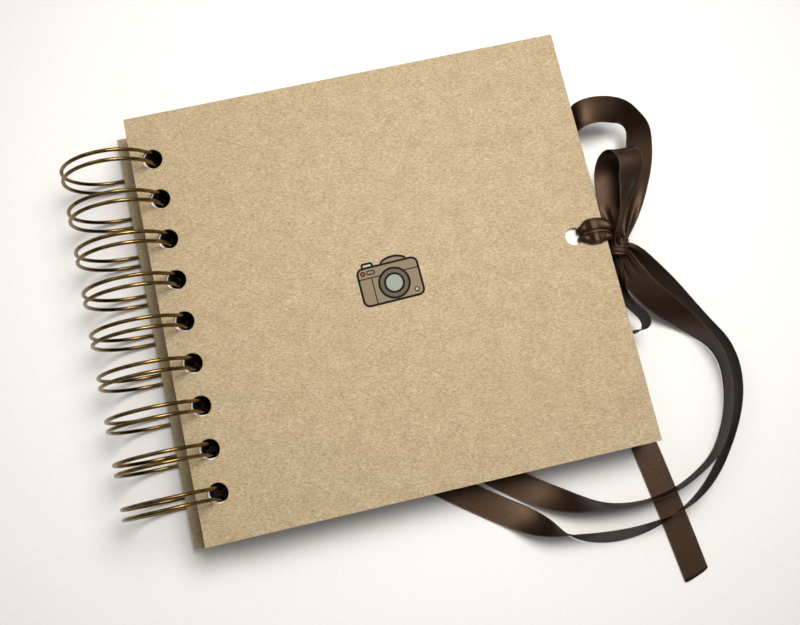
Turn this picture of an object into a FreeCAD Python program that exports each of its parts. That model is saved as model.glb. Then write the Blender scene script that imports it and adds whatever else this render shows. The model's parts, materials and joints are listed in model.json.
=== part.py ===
"""Ring-bound scrapbook album with a satin ribbon bow.

The covers and leaves hang on nine twin-loop wire rings. Every length is in millimetres.
The model is built in the album's own frame (x from the front cover's spine edge, y from its
lower edge, z from its upper face), then tipped so that it rests on the rings and on the back
ribbon, and moved so that its lowest point is at z = 0.
"""
import math
import os

import FreeCAD
import Part

V = FreeCAD.Vector

# Covers and leaves
COVER_W = 211.0
COVER_H = 203.0
COVER_T = 1.5
LEAF_W = 208.0
LEAF_H = 201.0
LEAF_T = 0.5
LEAF_COUNT = 24
FLYLEAF_T = 0.3
FLYLEAF_SLIP = 0.7
BLOCK_T = 24.0

# Punched holes
HOLE_COUNT = 9
HOLE_PITCH = 19.85
HOLE_D = 9.5
COVER_HOLE_IN = 9.9
LEAF_HOLE_IN = 9.0
RIBBON_HOLE_D = 8.5
RIBBON_HOLE_IN = 15.0

# Wire rings
WIRE_D = 1.8
RING_R = 22.0
AXIS_DROP = 5.3
STRAND_GAP = 4.6
TIP_DEG = -62.0
BRIDGE_DEG = -76.0
BEND_R = 1.5
END_STUB = 4.0

# Ribbon
RIBBON_W = 12.7
RIBBON_T = 0.3
GATHERED_W = 6.5
BACK_TAIL_REACH = 1.83
RIBBON_GAP = 0.7
KNOT_SIZE = (6.4, 8.0, 7.0)
KNOT_FILLET = 2.4

# Fits
WIRE_FIT = 0.35
SOFT_FIT = 0.15
FRONT_WIRE_LEAD = 0.6
BACK_WIRE_LEAD = 0.4

FRONT_RISE = AXIS_DROP - COVER_T / 2.0
BACK_FALL = BLOCK_T - COVER_T / 2.0 - AXIS_DROP
AXIS_OUT = math.sqrt(RING_R ** 2 - FRONT_RISE ** 2) - COVER_HOLE_IN - FRONT_WIRE_LEAD
COVER_SWAY = COVER_HOLE_IN + AXIS_OUT + BACK_WIRE_LEAD - math.sqrt(RING_R ** 2 - BACK_FALL ** 2)
AXIS_X = -AXIS_OUT
AXIS_Z = -AXIS_DROP
WIRE_R = WIRE_D / 2.0
MID_Y = COVER_H / 2.0
LEAF_GAP = (BLOCK_T - 2 * COVER_T - FLYLEAF_T - LEAF_COUNT * LEAF_T - 2 * RIBBON_GAP) / LEAF_COUNT
TABLE_SLOPE = math.atan2(RING_R + WIRE_R + AXIS_DROP - BLOCK_T - SOFT_FIT - RIBBON_T,
                         COVER_W - COVER_SWAY + AXIS_OUT)


def table_z(x):
    """Height of the table under the album, in the album's own frame."""
    foot = AXIS_Z - (RING_R + WIRE_R) / math.cos(TABLE_SLOPE)
    return foot + (x - AXIS_X) * math.tan(TABLE_SLOPE)


def ring_x(z):
    """Where the wire's centreline crosses height z, on the side that carries the sheets."""
    return AXIS_X + math.sqrt(RING_R ** 2 - (z - AXIS_Z) ** 2)


def hole_play(z, thick):
    """How far a hole's centre may lie to the right of the wire without touching it."""
    rise = (z - AXIS_Z) / RING_R
    slope = math.sqrt(1.0 - rise ** 2)
    reach = WIRE_R / slope + 0.5 * thick * abs(rise) / slope
    best = HOLE_D
    for step in range(0, 91, 5):
        turn = math.radians(step)
        wide = HOLE_D / 2.0 - WIRE_FIT
        side = STRAND_GAP / 2.0 + WIRE_R * math.sin(turn)
        best = min(best, math.sqrt(wide ** 2 - side ** 2) - reach * math.cos(turn))
    return best


def hole_rows():
    """Heights along the spine of the hole centres."""
    first = MID_Y - HOLE_PITCH * (HOLE_COUNT - 1) / 2.0
    return [first + HOLE_PITCH * index for index in range(HOLE_COUNT)]


def punched(left, width, height, top, thick, hole_in, ribbon_hole):
    """A sheet with its row of spine holes, and a ribbon hole at the fore edge if asked."""
    sheet = Part.makeBox(width, height, thick, V(left, MID_Y - height / 2.0, top - thick))
    for row in hole_rows():
        drill = Part.makeCylinder(HOLE_D / 2.0, thick + 2, V(left + hole_in, row, top - thick - 1))
        sheet = sheet.cut(drill)
    if ribbon_hole:
        centre = V(left + width - RIBBON_HOLE_IN, MID_Y, top - thick - 1)
        sheet = sheet.cut(Part.makeCylinder(RIBBON_HOLE_D / 2.0, thick + 2, centre))
    return sheet


def leaf(top, thick):
    """An inner sheet, pushed left only as far as the wire in its holes needs."""
    jogged = (COVER_W - LEAF_W) / 2.0 + 0.2
    middle = top - thick / 2.0
    left = min(jogged, ring_x(middle) + hole_play(middle, thick) - LEAF_HOLE_IN)
    return punched(left, LEAF_W, LEAF_H, top, thick, LEAF_HOLE_IN, False)


def ring_point(degrees, y):
    """Point on the ring's centreline at an angle from +X towards +Z."""
    turn = math.radians(degrees)
    return V(AXIS_X + RING_R * math.cos(turn), y, AXIS_Z + RING_R * math.sin(turn))


def ring_tangent(degrees):
    """Direction of travel round the ring towards +Z from +X."""
    turn = math.radians(degrees)
    return V(-math.sin(turn), 0, math.cos(turn))


def arc(start, middle, end):
    """An arc edge through three points."""
    return Part.Arc(start, middle, end).toShape()


def bend(corner, along, across):
    """A quarter bend that leaves a corner's first leg and joins its second leg."""
    start = corner - along * BEND_R
    end = corner + across * BEND_R
    centre = corner - along * BEND_R + across * BEND_R
    middle = centre + (along - across) * (BEND_R / math.sqrt(2.0))
    return start, arc(start, middle, end), end


def wire_loop(row, low_reach, high_reach):
    """One twin loop: two strands joined by a hairpin tip, and a half bridge to each neighbour."""
    half = STRAND_GAP / 2.0
    along = ring_tangent(BRIDGE_DEG)
    tip_way = ring_tangent(TIP_DEG)
    low_corner = ring_point(BRIDGE_DEG, row - half)
    high_corner = ring_point(BRIDGE_DEG, row + half)
    low_start, low_bend, low_end = bend(low_corner, along, V(0, -1, 0))
    high_start, high_bend, high_end = bend(high_corner, along, V(0, 1, 0))
    spare = 0.5
    low_far = V(low_end.x, row - low_reach - spare, low_end.z)
    edges = [Part.makeLine(low_far, low_end), low_bend]
    for side in (-1, 1):
        edges.append(arc(low_start if side < 0 else high_start,
                         ring_point((TIP_DEG - 360 + BRIDGE_DEG) / 2.0, row + side * half),
                         ring_point(TIP_DEG, row + side * half)))
    tip = ring_point(TIP_DEG, row) + tip_way * half
    edges.append(arc(ring_point(TIP_DEG, row - half), tip, ring_point(TIP_DEG, row + half)))
    edges.append(high_bend)
    edges.append(Part.makeLine(high_end, V(high_end.x, row + high_reach + spare, high_end.z)))
    path = Part.Wire(Part.sortEdges(edges)[0])
    first = path.OrderedEdges[0]
    begin = first.valueAt(first.FirstParameter)
    section = Part.Wire(Part.makeCircle(WIRE_R, begin, first.tangentAt(first.FirstParameter)))
    wire = path.makePipeShell([section], True, True)
    corner = V(AXIS_X - 2 * RING_R, row - low_reach, AXIS_Z - 2 * RING_R)
    return wire.common(Part.makeBox(4 * RING_R, low_reach + high_reach, 4 * RING_R, corner))


def unit(vector):
    """A copy of a vector with length one."""
    copy = V(vector)
    copy.normalize()
    return copy


def leaning(points, leans):
    """Across-the-ribbon directions. Lean 0 lies flat, 90 stands on edge, in degrees."""
    sides = []
    last = len(points) - 1
    for index, lean in enumerate(leans):
        along = unit(points[min(index + 1, last)] - points[max(index - 1, 0)])
        level = unit(V(0, 0, 1).cross(along))
        turn = math.radians(lean)
        sides.append(level * math.cos(turn) + along.cross(level) * math.sin(turn))
    return sides


def band(points, sides, width, thick):
    """A thin ribbon along points, each with its own across-the-ribbon direction."""
    sections = []
    last = len(points) - 1
    for index, (point, side) in enumerate(zip(points, sides)):
        along = unit(points[min(index + 1, last)] - points[max(index - 1, 0)])
        across = side * (width / 2.0)
        through = unit(along.cross(side)) * (thick / 2.0)
        corners = [point - across - through, point + across - through]
        corners += [point + across + through, point - across + through]
        sections.append(Part.makePolygon(corners + corners[:1]))
    return Part.makeLoft(sections, True, True)


def sweep_points(start, heading, runs, steps=6):
    """Plan points of a chain of arcs: each run is (length, turn in degrees to the left)."""
    x, y = start
    turn = math.radians(heading)
    points = [(x, y)]
    for length, bend_deg in runs:
        for _ in range(steps):
            turn += math.radians(bend_deg) / (2 * steps)
            x += length / steps * math.cos(turn)
            y += length / steps * math.sin(turn)
            turn += math.radians(bend_deg) / (2 * steps)
            points.append((x, y))
    return points


def spread(values, count):
    """Values read off evenly along a list of breakpoints."""
    out = []
    for index in range(count):
        place = index * (len(values) - 1) / float(count - 1)
        low = min(int(place), len(values) - 2)
        out.append(values[low] + (values[low + 1] - values[low]) * (place - low))
    return out


KNOT_AT = V(COVER_W + 6.4, MID_Y - 9.6, -2.0)


def standing_band(start, heading, runs, lifts, leans):
    """A ribbon of full width; lifts are its lower edge's heights above the table."""
    plan = sweep_points(start, heading, runs)
    heights = spread(lifts, len(plan))
    tilts = spread(leans, len(plan))
    points = []
    for (x, y), lift, tilt in zip(plan, heights, tilts):
        rise = abs(math.sin(math.radians(tilt))) * RIBBON_W / 2.0
        points.append(V(x, y, table_z(x) + RIBBON_T + lift + rise))
    return band(points, leaning(points, tilts), RIBBON_W, RIBBON_T)


def tail_runs(shares):
    """Runs whose lengths are shares of the knot's height above the album's lower edge."""
    return [(share * KNOT_AT.y, turn) for share, turn in shares]


def tail_outer():
    """Longer bow end: leaves the knot, sweeps round on edge and slips flat under the album."""
    start = (KNOT_AT.x + 4.4, KNOT_AT.y + 1.6)
    runs = tail_runs(((0.26, -42), (0.40, 3), (0.29, -43), (0.49, -31), (0.58, -46), (0.57, -38),
                      (0.28, 2), (0.35, 1)))
    lifts = (14.0, 8.0, 1.5) + (0.5,) * 6
    return standing_band(start, -22.0, runs, lifts, (88, 88, 89, 90, 84, 80, 74, 0, 0))


def tail_inner():
    """Shorter bow end, inside the longer one."""
    start = (KNOT_AT.x + 3.0, KNOT_AT.y - 4.9)
    runs = tail_runs(((0.38, 21), (0.40, -52), (0.37, -31), (0.41, -45), (0.36, -25), (0.35, -22),
                      (0.37, 0)))
    lifts = (11.0, 5.0, 1.0) + (0.5,) * 5
    return standing_band(start, -64.0, runs, lifts, (110, 118, 95, 90, 88, 78, 0, 0))


def bow_loop(start, heading, runs, lows):
    """A standing loop of the bow; lows are the middle heights from the knot round and back."""
    plan = sweep_points(start, heading, runs)
    heights = spread(lows, len(plan))
    points = [V(x, y, z) for (x, y), z in zip(plan, heights)]
    return band(points, leaning(points, [90.0] * len(points)), RIBBON_W * 0.94, RIBBON_T)


def loop_large():
    """Large loop lying out from the fore edge, held low beside the leaves."""
    start = (KNOT_AT.x - 2.4, KNOT_AT.y + KNOT_SIZE[1] / 2 + 0.9)
    runs = ((29, -8), (28, -8), (18, -69), (19, -70), (28, -57), (42, -17))
    return bow_loop(start, 99.0, runs, (-9.5, -13.0, -13.0, -9.5))


def loop_small():
    """Small loop arching up from the knot, its hollow facing across the album."""
    x, y = KNOT_AT.x + 2.8, KNOT_AT.y + KNOT_SIZE[1] / 2 + 0.9
    points = []
    for out, up in sweep_points((0.0, 3.4), -2.0, ((30, 6), (12, 76), (12, 104), (28, 14)), 8):
        points.append(V(x - 0.04 * out, y + out, KNOT_AT.z + up))
    return band(points, [V(1, 0, 0)] * len(points), RIBBON_W * 0.94, RIBBON_T)


def curl():
    """Short bow end that rolls back towards the fore edge."""
    start = (KNOT_AT.x - 2.6, KNOT_AT.y - 5.2)
    runs = ((14, 50), (10, -30), (10, -90), (5, -40))
    return standing_band(start, -100.0, runs, (6.0, 5.0, 5.0, 5.0, 5.0), (90,) * 5)


def knot():
    """The bow's knot, a rounded bundle outside the fore edge."""
    dx, dy, dz = KNOT_SIZE
    block = Part.makeBox(dx, dy, dz, KNOT_AT - V(dx / 2.0, dy / 2.0, dz / 2.0))
    return block.makeFillet(KNOT_FILLET, block.Edges)


def front_loop():
    """Gathered ribbon through the front cover's ribbon hole and round its fore edge."""
    hole = V(COVER_W - RIBBON_HOLE_IN, MID_Y, 0)
    way = KNOT_AT - hole
    heading = math.degrees(math.atan2(way.y, way.x))
    slant = math.radians(abs(heading))
    edge = RIBBON_HOLE_IN / math.cos(slant) + GATHERED_W / 2.0 * math.tan(slant) + SOFT_FIT
    left = -RIBBON_T
    outer = Part.makeBox(edge - left + RIBBON_T, GATHERED_W, COVER_T + 2 * SOFT_FIT + 2 * RIBBON_T,
                         V(left, -GATHERED_W / 2.0, -COVER_T - SOFT_FIT - RIBBON_T))
    inner = Part.makeBox(edge - left - RIBBON_T, GATHERED_W + 2, COVER_T + 2 * SOFT_FIT,
                         V(left + RIBBON_T, -GATHERED_W / 2.0 - 1, -COVER_T - SOFT_FIT))
    loop = outer.cut(inner)
    loop.rotate(V(0, 0, 0), V(0, 0, 1), heading)
    loop.translate(hole)
    return loop


def back_strap():
    """Ribbon from the knot down the fore edge and over the back cover to its ribbon hole."""
    hole_x = COVER_W - COVER_SWAY - RIBBON_HOLE_IN
    top = -BLOCK_T + COVER_T + SOFT_FIT
    low_y = MID_Y - GATHERED_W / 2.0
    out = KNOT_AT.x - hole_x
    flat = Part.makeBox(out, GATHERED_W, RIBBON_T, V(hole_x, low_y, top))
    drop = Part.makeBox(RIBBON_T, GATHERED_W, COVER_T + 2 * SOFT_FIT, V(hole_x, low_y, top))
    drop.translate(V(0, 0, -COVER_T - 2 * SOFT_FIT))
    under_knot = KNOT_AT.z - KNOT_SIZE[2] / 2.0 - SOFT_FIT
    rise = Part.makeBox(RIBBON_T, GATHERED_W, under_knot - top, V(KNOT_AT.x, low_y, top))
    shift = KNOT_AT.y - MID_Y
    foot = Part.makeBox(RIBBON_T, GATHERED_W - shift, RIBBON_T, V(KNOT_AT.x, low_y + shift, under_knot - RIBBON_T))
    return flat.fuse([drop, rise, foot]).removeSplitter()


def back_tail():
    """Free end of the back ribbon: flat under the back cover, out below its lower edge."""
    start = (COVER_W - COVER_SWAY - RIBBON_HOLE_IN + RIBBON_T, MID_Y)
    under = -BLOCK_T - SOFT_FIT - RIBBON_T / 2.0
    points = []
    leans = []
    for x, y in sweep_points(start, -80.0, ((BACK_TAIL_REACH * KNOT_AT.y, 0.0),), 16):
        open_air = y < -COVER_T
        points.append(V(x, y, table_z(x) + RIBBON_T / 2.0 if open_air else under))
        leans.append(math.degrees(TABLE_SLOPE) if open_air else 0.0)
    return band(points, leaning(points, leans), RIBBON_W, RIBBON_T)


def build():
    """Every piece by name, in the album's own frame."""
    pieces = {}
    pieces["front_cover"] = punched(0.0, COVER_W, COVER_H, 0.0, COVER_T, COVER_HOLE_IN, True)
    pieces["back_cover"] = punched(-COVER_SWAY, COVER_W, COVER_H, COVER_T - BLOCK_T, COVER_T,
                                   COVER_HOLE_IN, True)
    top = -COVER_T - RIBBON_GAP
    pieces["flyleaf"] = leaf(top, FLYLEAF_T)
    pieces["flyleaf"].translate(V(0, FLYLEAF_SLIP, 0))
    top -= FLYLEAF_T
    for number in range(1, LEAF_COUNT + 1):
        top -= LEAF_GAP
        pieces["leaf_%02d" % number] = leaf(top, LEAF_T)
        top -= LEAF_T
    rows = hole_rows()
    for number, row in enumerate(reversed(rows), 1):
        low = HOLE_PITCH / 2.0 if number < HOLE_COUNT else END_STUB
        high = HOLE_PITCH / 2.0 if number > 1 else END_STUB
        pieces["wire_loop_%d" % number] = wire_loop(row, low, high)
    pieces["ribbon_front_loop"] = front_loop()
    pieces["ribbon_back_strap"] = back_strap()
    pieces["ribbon_back_tail"] = back_tail()
    pieces["bow_knot"] = knot()
    pieces["bow_loop_large"] = loop_large()
    pieces["bow_loop_small"] = loop_small()
    pieces["bow_tail_outer"] = tail_outer()
    pieces["bow_tail_inner"] = tail_inner()
    pieces["bow_curl"] = curl()
    return pieces


def settle(pieces):
    """Tip the album onto its feet, then put the middle of its footprint at the origin."""
    for shape in pieces.values():
        shape.rotate(V(AXIS_X, 0, AXIS_Z), V(0, 1, 0), math.degrees(TABLE_SLOPE))
    box = Part.makeCompound(list(pieces.values())).optimalBoundingBox(True, False)
    shift = V(-(box.XMin + box.XMax) / 2.0, -(box.YMin + box.YMax) / 2.0, -box.ZMin)
    for shape in pieces.values():
        shape.translate(shift)
    print("ring axis at", AXIS_X + shift.x, MID_Y + shift.y, AXIS_Z + shift.z)
    print("slope", math.degrees(TABLE_SLOPE), "shift", shift, "leaf gap", LEAF_GAP)


def main():
    """Build, settle and export every piece."""
    os.makedirs("parts", exist_ok=True)
    pieces = build()
    settle(pieces)
    for name, shape in pieces.items():
        if not shape.isValid() or shape.ShapeType not in ("Solid", "Compound", "CompSolid"):
            print("check", name, shape.ShapeType, shape.isValid())
        shape.exportStep("parts/%s.step" % name)
    print(len(pieces), "pieces")


main()
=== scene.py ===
"""Scrapbook album: kraft covers, black leaves, a twin-loop wire binding and a tied satin ribbon.

Lengths in the classes below are millimetres in the album's own frame: x runs from the front
cover's spine edge towards the bow, y from its lower edge to its upper edge, and z is up from its
top face. AlbumFrame carries such a place into the metres of the fixed frame.
"""

import json
import logging
import math
from dataclasses import dataclass, field
from enum import Enum
from functools import partial
from typing import Any, Mapping, NamedTuple, Optional, Sequence, Union

import bpy
import numpy as np
from mathutils import Matrix, Vector


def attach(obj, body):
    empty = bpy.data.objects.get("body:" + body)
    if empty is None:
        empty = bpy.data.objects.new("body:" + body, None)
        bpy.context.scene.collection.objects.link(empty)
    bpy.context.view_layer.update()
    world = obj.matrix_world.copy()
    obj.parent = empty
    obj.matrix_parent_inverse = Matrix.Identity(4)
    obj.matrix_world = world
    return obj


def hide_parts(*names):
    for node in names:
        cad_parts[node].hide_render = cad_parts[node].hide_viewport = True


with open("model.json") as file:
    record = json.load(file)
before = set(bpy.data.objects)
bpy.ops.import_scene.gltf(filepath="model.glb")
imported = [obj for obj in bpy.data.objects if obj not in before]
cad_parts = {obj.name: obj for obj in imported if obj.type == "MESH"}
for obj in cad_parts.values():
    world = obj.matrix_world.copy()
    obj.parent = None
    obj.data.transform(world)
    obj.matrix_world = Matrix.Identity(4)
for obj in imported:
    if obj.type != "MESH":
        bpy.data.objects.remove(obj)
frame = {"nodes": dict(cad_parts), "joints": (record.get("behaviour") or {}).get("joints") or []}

LOG = logging.getLogger("album")
MM = 0.001
Place = tuple[float, float, float]
SocketKey = Union[str, int]
Source = Union[bpy.types.Node, bpy.types.NodeSocket]


class Slot(Enum):
    """The record's material slots that new pieces fill."""

    KRAFT = "kraft_board"
    RIBBON = "satin_ribbon"


class Body(Enum):
    """The moving bodies that new pieces ride on."""

    BACK = "back"
    FRONT = "front"


class Section(Enum):
    """How a narrowed ribbon takes up its width."""

    PLEATS = "pleats"
    TWO_LOBES = "two lobes"


# ---------------------------------------------------------------- places and meshes


@dataclass(frozen=True)
class AlbumFrame:
    """The album's own frame, which tips a little where the album rests on its rings.

    Attributes:
        pin: The ring axis, in metres.
        slope: The tilt about the spine, in radians.
        spine_gap: From the ring axis to the front cover's spine edge.
        axis_drop: From the front cover's upper face down to the ring axis.
        middle: Half the cover's height, where the ring axis is pinned.
        ring_reach: From the ring axis to the outside of the wire.
        underside: From the front cover's upper face to the bottom of the ribbon under the album.
        foot_edge: The back cover's fore edge, where that ribbon bears.
    """

    pin: Vector
    slope: float
    spine_gap: float = 11.024
    axis_drop: float = 5.3
    middle: float = 101.5
    ring_reach: float = 22.9
    underside: float = 24.45
    foot_edge: float = 202.395

    @classmethod
    def from_joints(cls, joints: Sequence[Mapping[str, Any]]) -> "AlbumFrame":
        """Finds the ring axis, and the tilt of an album that rests on its rings and its back ribbon.

        Args:
            joints: The record's joints, one of them the front cover's hinge.

        Returns:
            The frame that the pieces are laid out in.
        """
        hinge = next(joint for joint in joints if joint["name"] == "front_cover_hinge")
        rise = cls.ring_reach + cls.axis_drop - cls.underside
        return cls(Vector(hinge["pos_m"]), math.atan2(rise, cls.foot_edge + cls.spine_gap))

    def way(self, direction: Sequence[float]) -> Vector:
        """Turns a direction in the album into the fixed frame."""
        return Matrix.Rotation(self.slope, 3, "Y") @ Vector(direction)

    def at(self, place: Sequence[float]) -> Vector:
        """Carries a place in the album into the fixed frame, in metres."""
        away = Vector((place[0] + self.spine_gap, place[1] - self.middle, place[2] + self.axis_drop))
        return self.pin + self.way(away) * MM

    def table(self, x: float) -> float:
        """Height of the table under the album at x."""
        foot = -self.axis_drop - self.ring_reach / math.cos(self.slope)
        return foot + (x + self.spine_gap) * math.tan(self.slope)


def mesh_piece(name: str, points: Sequence[Vector], faces: Sequence[Sequence[int]]) -> bpy.types.Object:
    """Makes a smooth-shaded mesh object.

    Args:
        name: The piece's name.
        points: Its vertices, in metres.
        faces: Its faces, as vertex numbers.

    Returns:
        The new object, in the scene.
    """
    mesh = bpy.data.meshes.new(name)
    mesh.from_pydata([tuple(point) for point in points], [], [tuple(face) for face in faces])
    mesh.shade_smooth()
    piece = bpy.data.objects.new(name, mesh)
    bpy.context.scene.collection.objects.link(piece)
    return piece


def cloth_places(piece: bpy.types.Object, places: Sequence[tuple[float, float]]) -> None:
    """Stores each vertex's place on the flat cloth, in millimetres across and along.

    Args:
        piece: A ribbon piece.
        places: One pair for each vertex.
    """
    layer = piece.data.attributes.new("cloth_mm", "FLOAT_VECTOR", "POINT")
    flat = [value for across, along in places for value in (across, along, 0.0)]
    layer.data.foreach_set("vector", flat)


# ---------------------------------------------------------------- materials


def linear(shade: str) -> tuple[float, float, float, float]:
    """Turns an sRGB hex colour into linear light.

    Args:
        shade: A colour such as "#C9B48F".

    Returns:
        Red, green, blue and an alpha of one.
    """
    parts = [int(shade[start:start + 2], 16) / 255.0 for start in (1, 3, 5)]
    light = [part / 12.92 if part <= 0.04045 else ((part + 0.055) / 1.055) ** 2.4 for part in parts]
    return (light[0], light[1], light[2], 1.0)


def add_node(tree: bpy.types.NodeTree, kind: str, settings: Optional[Mapping[SocketKey, Any]] = None,
        links: Optional[Mapping[SocketKey, Source]] = None) -> bpy.types.Node:
    """Adds a node with its settings and links.

    Args:
        tree: The node tree.
        kind: The node's type name, after ShaderNode.
        settings: Values by property name, or by input name or number.
        links: Outputs by the input name or number that they feed. A node stands for its first output.

    Returns:
        The new node.
    """
    node = tree.nodes.new("ShaderNode" + kind)
    for key, value in (settings or {}).items():
        if isinstance(key, str) and hasattr(node, key):
            setattr(node, key, value)
        else:
            node.inputs[key].default_value = value
    for key, source in (links or {}).items():
        output = source if isinstance(source, bpy.types.NodeSocket) else source.outputs[0]
        tree.links.new(output, node.inputs[key])
    return node


def new_surface(name: str, constants: Mapping[str, Any]) -> tuple[bpy.types.Material, bpy.types.Node]:
    """Starts a material with its shader and the values that are the same all over.

    Args:
        name: The material's name.
        constants: Values set on the shader's own sockets.

    Returns:
        The material and its shader node.
    """
    material = bpy.data.materials.new(name)
    material.use_nodes = True
    material.node_tree.nodes.clear()
    shader = add_node(material.node_tree, "BsdfPrincipled", constants)
    add_node(material.node_tree, "OutputMaterial", None, {"Surface": shader.outputs["BSDF"]})
    return material, shader


def per_metre(size: float) -> float:
    """Pattern repeats in a metre for a feature of a size in millimetres."""
    return 1.0 / (size * MM)


@dataclass(frozen=True)
class KraftBoard:
    """Recycled kraft board, calendered and die-cut.

    The eye gets a matt tan face full of short pale and dark fibres, faint clouds where the pulp
    settled, a pressed lip round each punched hole that darkens towards the rim, partly the pressed
    board's duller colour and partly painted shade at the hole's edge, and a duller, layered cut
    edge.
    """

    name: str
    hole_column: Vector
    hole_pitch: float = 19.85
    hole_count: int = 9
    hole_radius: float = 4.75
    lip: float = 0.7
    face: str = "#B09B77"
    pale: str = "#D0C0A2"
    dark: str = "#745C3D"
    edge: str = "#A78E68"
    fibre: tuple[float, float] = (1.6, 0.38)
    hair: tuple[float, float] = (1.0, 0.34)
    cloud: float = 9.0
    speck: float = 0.75
    ply: float = 0.25

    def material(self) -> bpy.types.Material:
        """Builds the board's material.

        Returns:
            The finished material.
        """
        material, shader = new_surface(self.name, {"Roughness": 0.78, "Specular IOR Level": 0.32})
        tree = material.node_tree
        make = partial(add_node, tree)
        coords = make("TexCoord")
        place = coords.outputs["Object"]
        # Real fibres are 1 to 3 mm long and 0.03 mm wide; they are drawn over ten times as wide so
        # that they show.
        long_scale = (per_metre(self.fibre[0]), per_metre(self.fibre[1]), per_metre(self.fibre[1]))
        hair_scale = (per_metre(self.hair[0]), per_metre(self.hair[1]), per_metre(self.hair[1]))
        long_way = make("Mapping", {"Scale": long_scale}, {"Vector": place})
        turned = make("Mapping", {"Rotation": (0.0, 0.0, 0.35)}, {"Vector": place})
        hair_way = make("Mapping", {"Scale": hair_scale}, {"Vector": turned})
        fibres = make("TexNoise", {"Scale": 1.0, "Detail": 4.0, "Roughness": 0.62, "Distortion": 0.9},
                {"Vector": long_way})
        hairs = make("TexNoise", {"Scale": 1.0, "Detail": 3.0, "Roughness": 0.6, "Distortion": 1.2},
                {"Vector": hair_way})
        clouds = make("TexNoise", {"Scale": per_metre(self.cloud), "Detail": 3.0}, {"Vector": place})
        specks = make("TexNoise", {"Scale": per_metre(self.speck), "Detail": 1.0}, {"Vector": place})
        pale = make("MapRange", {"From Min": 0.4, "From Max": 0.66, "To Max": 1.0}, {"Value": fibres})
        dark = make("MapRange", {"From Min": 0.46, "From Max": 0.72, "To Max": 0.95}, {"Value": hairs})
        spot = make("MapRange", {"From Min": 0.72, "From Max": 0.8, "To Max": 0.45}, {"Value": specks})
        haze = make("MapRange", {"From Min": 0.35, "From Max": 0.7, "To Max": 0.15}, {"Value": clouds})
        tone = make("Mix", {"data_type": "RGBA", 6: linear(self.face), 7: linear(self.pale)}, {0: pale})
        for amount in (dark, spot, haze):
            tone = make("Mix", {"data_type": "RGBA", 7: linear(self.dark)},
                    {0: amount, 6: tone.outputs[2]})
        # The lip darkens the board towards each hole's rim: partly the pressed board's duller colour,
        # partly painted shade at the hole's edge.
        lip = self.lip_and_rim_shade_mask(tree, place)
        tone = make("Mix", {"data_type": "RGBA", 7: linear(self.edge)}, {0: lip, 6: tone.outputs[2]})
        plies = make("Mapping", {"Scale": (60.0, 60.0, per_metre(self.ply))}, {"Vector": place})
        layers = make("TexNoise", {"Scale": 1.0, "Detail": 3.0}, {"Vector": plies})
        cut = make("Mix", {"data_type": "RGBA", 6: linear(self.edge), 7: linear(self.dark)},
                {0: layers})
        upright = make("VectorMath", {"operation": "DOT_PRODUCT", 1: (0.0, 0.0, 1.0)},
                {0: coords.outputs["Normal"]})
        flat = make("Math", {"operation": "ABSOLUTE"}, {0: upright.outputs["Value"]})
        on_face = make("MapRange", {"From Min": 0.4, "From Max": 0.6}, {"Value": flat})
        whole = make("Mix", {"data_type": "RGBA"}, {0: on_face, 6: cut.outputs[2], 7: tone.outputs[2]})
        tree.links.new(whole.outputs[2], shader.inputs["Base Color"])
        height = make("Math", {"operation": "SUBTRACT"}, {0: fibres, 1: lip})
        bump = make("Bump", {"Strength": 0.35, "Distance": 0.06 * MM}, {"Height": height})
        tree.links.new(bump.outputs[0], shader.inputs["Normal"])
        return material

    def lip_and_rim_shade_mask(self, tree: bpy.types.NodeTree, place: bpy.types.NodeSocket) -> bpy.types.Node:
        """Adds the pressed lip round the spine holes, darker towards each rim: partly the pressed
        board's duller colour, partly painted shade at the hole's edge.

        Args:
            tree: The node tree.
            place: The socket that gives the place on the board, in metres.

        Returns:
            A node whose first output is one half at a hole's rim and 0 a lip's width outside it.
        """
        make = partial(add_node, tree)
        away = make("VectorMath", {"operation": "SUBTRACT", 1: tuple(self.hole_column)}, {0: place})
        parts = make("SeparateXYZ", None, {0: away})
        pitch = self.hole_pitch * MM
        half_up = make("Math", {"operation": "ADD", 1: pitch / 2.0}, {0: parts.outputs["Y"]})
        nearest = make("Math", {"operation": "SNAP", 1: pitch}, {0: half_up})
        first = make("Math", {"operation": "MAXIMUM", 1: 0.0}, {0: nearest})
        last = make("Math", {"operation": "MINIMUM", 1: pitch * (self.hole_count - 1)}, {0: first})
        row = make("Math", {"operation": "SUBTRACT"}, {0: parts.outputs["Y"], 1: last})
        near = make("CombineXYZ", None, {"X": parts.outputs["X"], "Y": row})
        gap = make("VectorMath", {"operation": "LENGTH"}, {0: near})
        return make("MapRange", {"From Min": (self.hole_radius + self.lip) * MM,
                "From Max": self.hole_radius * MM, "To Max": 0.5}, {"Value": gap.outputs["Value"]})


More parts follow.
